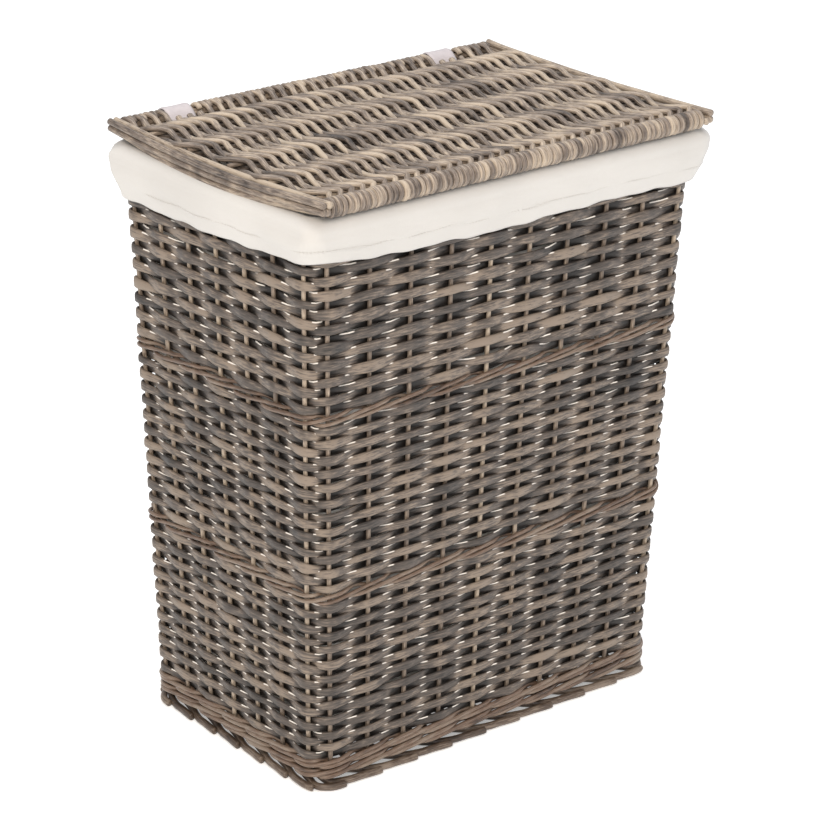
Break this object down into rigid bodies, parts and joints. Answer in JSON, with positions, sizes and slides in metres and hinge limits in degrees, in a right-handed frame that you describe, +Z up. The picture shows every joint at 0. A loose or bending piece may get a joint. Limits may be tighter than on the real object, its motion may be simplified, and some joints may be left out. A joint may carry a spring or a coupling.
{
  "type": "lidded wicker laundry basket",
  "caption": "Tapered rectangular willow laundry basket with a hinged woven lid and a turned-over cotton liner, for holding washing.",
  "frame": {"origin": "centre of the footprint, on the floor", "axes": "+Z up, front is -Y, the lid's hinge is at +Y, the long sides run along X"},
  "size_m": [0.4956, 0.331, 0.6091],
  "materials": {
    "wall_willow": "grey-washed split willow, matt",
    "lid_willow": "grey-washed round willow, lighter, matt",
    "waling_rod": "thin brown willow rods, matt",
    "foot_rod": "thick brown willow rods, matt",
    "willow_stick": "peeled willow sticks, matt",
    "liner_cotton": "plain woven off-white cotton",
    "strap_tape": "smooth grey-lilac tape"
  },
  "bodies": {
    "basket": {"foot_border": "foot_rod", "waling_base": "waling_rod", "weave_lower": "wall_willow", "waling_lower": "waling_rod", "weave_middle": "wall_willow", "waling_upper": "waling_rod", "weave_upper": "wall_willow", "base_weave": "wall_willow", "base_stick_1": "willow_stick", "base_stick_2": "willow_stick", "base_stick_3": "willow_stick", "stake_front_1": "willow_stick", "stake_back_1": "willow_stick", "stake_front_2": "willow_stick", "stake_back_2": "willow_stick", "stake_front_3": "willow_stick", "stake_back_3": "willow_stick", "stake_front_4": "willow_stick", "stake_back_4": "willow_stick", "stake_front_5": "willow_stick", "stake_back_5": "willow_stick", "stake_front_6": "willow_stick", "stake_back_6": "willow_stick", "stake_front_7": "willow_stick", "stake_back_7": "willow_stick", "stake_front_8": "willow_stick", "stake_back_8": "willow_stick", "stake_left_1": "willow_stick", "stake_right_1": "willow_stick", "stake_left_2": "willow_stick", "stake_right_2": "willow_stick", "stake_left_3": "willow_stick", "stake_right_3": "willow_stick", "stake_left_4": "willow_stick", "stake_right_4": "willow_stick", "stake_left_5": "willow_stick", "stake_right_5": "willow_stick", "corner_stake_1": "willow_stick", "corner_stake_2": "willow_stick", "corner_stake_3": "willow_stick", "corner_stake_4": "willow_stick", "corner_stake_5": "willow_stick", "corner_stake_6": "willow_stick", "corner_stake_7": "willow_stick", "corner_stake_8": "willow_stick", "rim_border": "wall_willow", "liner_bag": "liner_cotton", "liner_cuff": "liner_cotton"},
    "lid": {"lid_weave": "lid_willow", "lid_stick_back": "willow_stick", "lid_stick_1": "willow_stick", "lid_stick_2": "willow_stick", "lid_stick_3": "willow_stick", "lid_stick_4": "willow_stick", "lid_stick_5": "willow_stick", "lid_stick_front": "willow_stick", "lid_border_left": "lid_willow", "lid_border_right": "lid_willow", "hinge_strap_left": "strap_tape", "hinge_strap_right": "strap_tape"}
  },
  "joints": [
    {"name": "lid_hinge", "type": "hinge", "parent": "basket", "child": "lid", "pos_m": [0, 0.148, 0.5668], "axis": [-1, 0, 0], "range_deg": [0, 110]}
  ]
}
